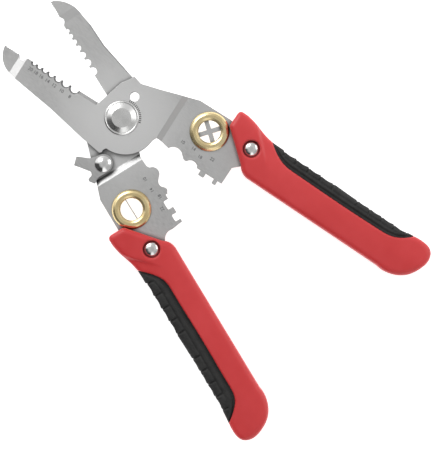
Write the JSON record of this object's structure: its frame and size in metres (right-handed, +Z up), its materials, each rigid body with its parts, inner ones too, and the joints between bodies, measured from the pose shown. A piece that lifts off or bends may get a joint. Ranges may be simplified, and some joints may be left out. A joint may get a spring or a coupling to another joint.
{
  "type": "wire stripper",
  "caption": "Plier-type wire stripper with crossed blade plates, stripping notches, crimping nests, brass-ringed cable splitters, a locking lever and two-colour handles.",
  "frame": {"origin": "middle of the open tool's footprint, on the surface it lies on", "axes": "+Y along the middle line from the handles to the jaws, +Z up out of the front face, +X towards the front half's handle"},
  "size_m": [0.1104, 0.1858, 0.013],
  "materials": {
    "blade_steel": "satin brushed",
    "rivet_steel": "polished",
    "spring_steel": "drawn wire",
    "brass": "turned",
    "handle_red": "semi-matte moulded",
    "grip_rubber": "fine-textured soft grip"
  },
  "bodies": {
    "front_half": {"front_plate": "blade_steel", "front_handle": "handle_red", "front_grip_pad": "grip_rubber", "front_handle_rivet": "rivet_steel", "quad_front_ferrule": "brass", "quad_back_ferrule": "brass", "quad_split_blade": "blade_steel", "pivot_bolt": "rivet_steel", "pivot_washer": "rivet_steel", "pivot_nut": "rivet_steel", "return_spring": "spring_steel"},
    "back_half": {"back_plate": "blade_steel", "back_handle": "handle_red", "back_grip_pad": "grip_rubber", "back_handle_rivet": "rivet_steel", "split_front_ferrule": "brass", "split_back_ferrule": "brass", "split_blade": "blade_steel", "lock_washer": "rivet_steel", "lock_rivet": "rivet_steel"},
    "lock_lever": {"lock_lever": "blade_steel"}
  },
  "joints": [
    {"name": "pivot", "type": "hinge", "parent": "front_half", "child": "back_half", "pos_m": [0.00312, 0.0381, 0.0065], "axis": [0, 0, 1], "range_deg": [0, 26], "stiffness_Nm_per_rad": 1, "springref_deg": -4.58, "deforming": ["return_spring"]},
    {"name": "lock_lever_turn", "type": "hinge", "parent": "back_half", "child": "lock_lever", "pos_m": [-0.01546, 0.03008, 0.0065], "axis": [0, 0, 1], "range_deg": [-28, 0]}
  ]
}
